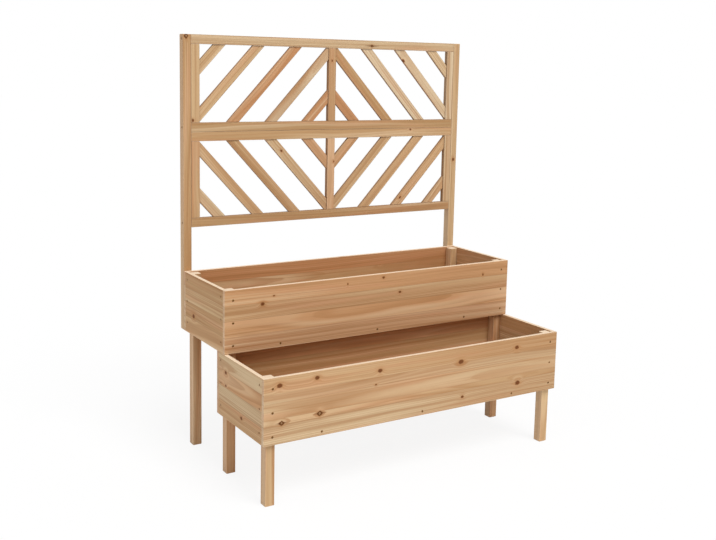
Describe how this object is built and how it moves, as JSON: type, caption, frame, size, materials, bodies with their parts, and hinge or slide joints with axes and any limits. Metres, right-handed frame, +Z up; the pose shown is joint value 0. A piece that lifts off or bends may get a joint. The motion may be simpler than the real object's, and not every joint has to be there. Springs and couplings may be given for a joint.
{
  "type": "planter with trellis",
  "caption": "Two-tier wooden planter: two long open boxes in steps on legs, with a slatted trellis behind the upper box for climbing plants.",
  "frame": {"origin": "on the ground, under the middle of the planter's overall box", "axes": "+X along the boxes to the right seen from the front, +Y from front to back, +Z up"},
  "size_m": [1.1, 0.6198, 1.3496],
  "materials": {
    "panel_wood": "planed softwood, edge-glued strips, small knots, unfinished",
    "leg_wood": "planed softwood, unfinished",
    "floor_wood": "sawn softwood, unfinished",
    "trellis_wood": "planed softwood, unfinished",
    "screw_steel": "dull bronzed steel"
  },
  "bodies": {
    "root": {"front_left_leg": "leg_wood", "front_right_leg": "leg_wood", "left_trellis_post": "trellis_wood", "lower_back_panel": "panel_wood", "lower_floor_batten_1": "floor_wood", "lower_floor_batten_2": "floor_wood", "lower_floor_batten_3": "floor_wood", "lower_floor_board_1": "floor_wood", "lower_floor_board_2": "floor_wood", "lower_floor_board_3": "floor_wood", "lower_frame_bottom_rail": "trellis_wood", "lower_frame_centre_stile": "trellis_wood", "lower_frame_left_slat_1": "trellis_wood", "lower_frame_left_slat_2": "trellis_wood", "lower_frame_left_slat_3": "trellis_wood", "lower_frame_left_slat_4": "trellis_wood", "lower_frame_left_slat_5": "trellis_wood", "lower_frame_left_stile": "trellis_wood", "lower_frame_right_slat_1": "trellis_wood", "lower_frame_right_slat_2": "trellis_wood", "lower_frame_right_slat_3": "trellis_wood", "lower_frame_right_slat_4": "trellis_wood", "lower_frame_right_slat_5": "trellis_wood", "lower_frame_right_stile": "trellis_wood", "lower_frame_top_rail": "trellis_wood", "lower_front_panel": "panel_wood", "lower_left_panel": "panel_wood", "lower_right_panel": "panel_wood", "middle_left_leg": "leg_wood", "middle_right_leg": "leg_wood", "rear_left_leg": "leg_wood", "rear_right_leg": "leg_wood", "right_trellis_post": "trellis_wood", "upper_back_panel": "panel_wood", "upper_floor_batten_1": "floor_wood", "upper_floor_batten_2": "floor_wood", "upper_floor_batten_3": "floor_wood", "upper_floor_board_1": "floor_wood", "upper_floor_board_2": "floor_wood", "upper_floor_board_3": "floor_wood", "upper_frame_bottom_rail": "trellis_wood", "upper_frame_centre_stile": "trellis_wood", "upper_frame_left_slat_1": "trellis_wood", "upper_frame_left_slat_2": "trellis_wood", "upper_frame_left_slat_3": "trellis_wood", "upper_frame_left_slat_4": "trellis_wood", "upper_frame_left_slat_5": "trellis_wood", "upper_frame_left_stile": "trellis_wood", "upper_frame_right_slat_1": "trellis_wood", "upper_frame_right_slat_2": "trellis_wood", "upper_frame_right_slat_3": "trellis_wood", "upper_frame_right_slat_4": "trellis_wood", "upper_frame_right_slat_5": "trellis_wood", "upper_frame_right_stile": "trellis_wood", "upper_frame_top_rail": "trellis_wood", "upper_front_panel": "panel_wood", "upper_left_panel": "panel_wood", "upper_right_panel": "panel_wood"}
  },
  "joints": []
}
